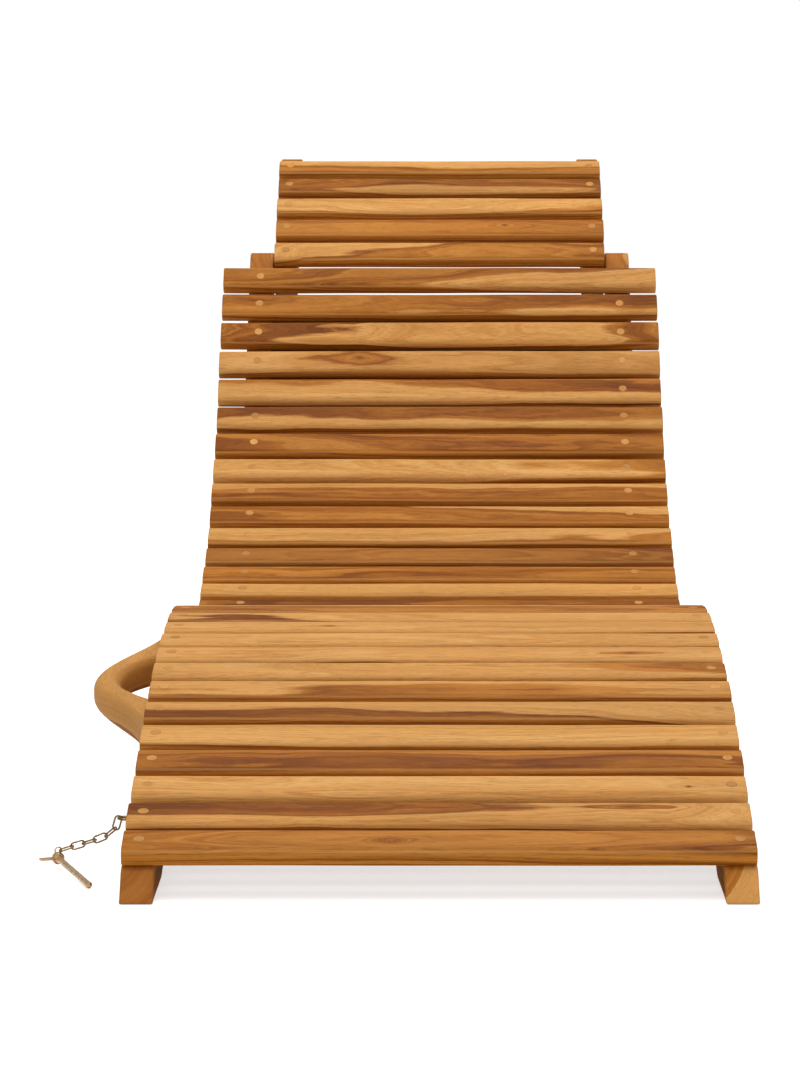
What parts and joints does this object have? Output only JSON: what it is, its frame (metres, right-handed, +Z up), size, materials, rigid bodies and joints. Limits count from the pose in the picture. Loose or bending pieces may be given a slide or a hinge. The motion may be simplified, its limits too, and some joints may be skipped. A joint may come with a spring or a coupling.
{
  "type": "folding sun lounger",
  "caption": "Folding slatted wooden sun lounger with a wave-shaped seat, a reclined back, a small headrest, rear legs, a side carry handle and a locking pin on a chain.",
  "frame": {"origin": "on the floor, under the middle of the overall box", "axes": "+Y from the foot end to the head end, +Z up, +X to the right seen from the foot end"},
  "size_m": [0.6378, 1.8154, 0.5953],
  "materials": {
    "teak": "bare sanded teak, honey to reddish brown",
    "plug": "sanded flush, a little paler than the slats",
    "brass": "dull lacquered brass"
  },
  "bodies": {
    "foot_section": {"carry_handle": "teak", "chain_eye": "brass", "foot_plugs": "plug", "foot_rail_left": "teak", "foot_rail_right": "teak", "foot_screws": "brass", "foot_slat_01": "teak", "foot_slat_02": "teak", "foot_slat_03": "teak", "foot_slat_04": "teak", "foot_slat_05": "teak", "foot_slat_06": "teak", "foot_slat_07": "teak", "foot_slat_08": "teak", "foot_slat_09": "teak", "foot_slat_10": "teak", "foot_slat_11": "teak", "foot_slat_12": "teak", "foot_slat_13": "teak", "foot_slat_14": "teak", "seat_bolts": "brass", "seat_slats": "teak"},
    "back_section": {"back_brace": "teak", "back_plugs": "plug", "back_rail_left": "teak", "back_rail_right": "teak", "back_screws": "brass", "back_slat_01": "teak", "back_slat_02": "teak", "back_slat_03": "teak", "back_slat_04": "teak", "back_slat_05": "teak", "back_slat_06": "teak", "back_slat_07": "teak", "back_slat_08": "teak", "back_slat_09": "teak", "back_slat_10": "teak", "back_slat_11": "teak", "back_slat_12": "teak", "back_slat_13": "teak", "back_slat_14": "teak", "back_slat_15": "teak", "headrest_bolts": "brass", "leg_bolts": "brass", "leg_stops": "teak", "lower_back_slats": "teak"},
    "headrest": {"head_plugs": "plug", "head_rail_left": "teak", "head_rail_right": "teak", "head_screws": "brass", "head_slat_1": "teak", "head_slat_2": "teak", "head_slat_3": "teak", "head_slat_4": "teak", "head_slat_5": "teak"},
    "rear_legs": {"leg_crossbar": "teak", "rear_leg_left": "teak", "rear_leg_right": "teak"},
    "lock_pin": {"locking_pin": "brass", "pin_chain": "brass"}
  },
  "joints": [
    {"name": "back_fold", "type": "hinge", "parent": "foot_section", "child": "back_section", "pos_m": [0.0399, -0.034, 0.0365], "axis": [-1, 0, 0], "range_deg": [0, 204]},
    {"name": "leg_fold", "type": "hinge", "parent": "back_section", "child": "rear_legs", "pos_m": [0.0399, 0.44798, 0.20771], "axis": [-1, 0, 0], "range_deg": [0, 76]},
    {"name": "headrest_tilt", "type": "hinge", "parent": "back_section", "child": "headrest", "pos_m": [0.0399, 0.69082, 0.44835], "axis": [-1, 0, 0], "range_deg": [0, 60]},
    {"name": "pin_swing", "type": "hinge", "parent": "foot_section", "child": "lock_pin", "pos_m": [-0.243, -0.752, 0.043], "axis": [0, 0, -1], "range_deg": [0, 70]}
  ],
  "couplings": [
    {"joint": "leg_fold", "follows": "back_fold", "ratio": 0.37255}
  ]
}
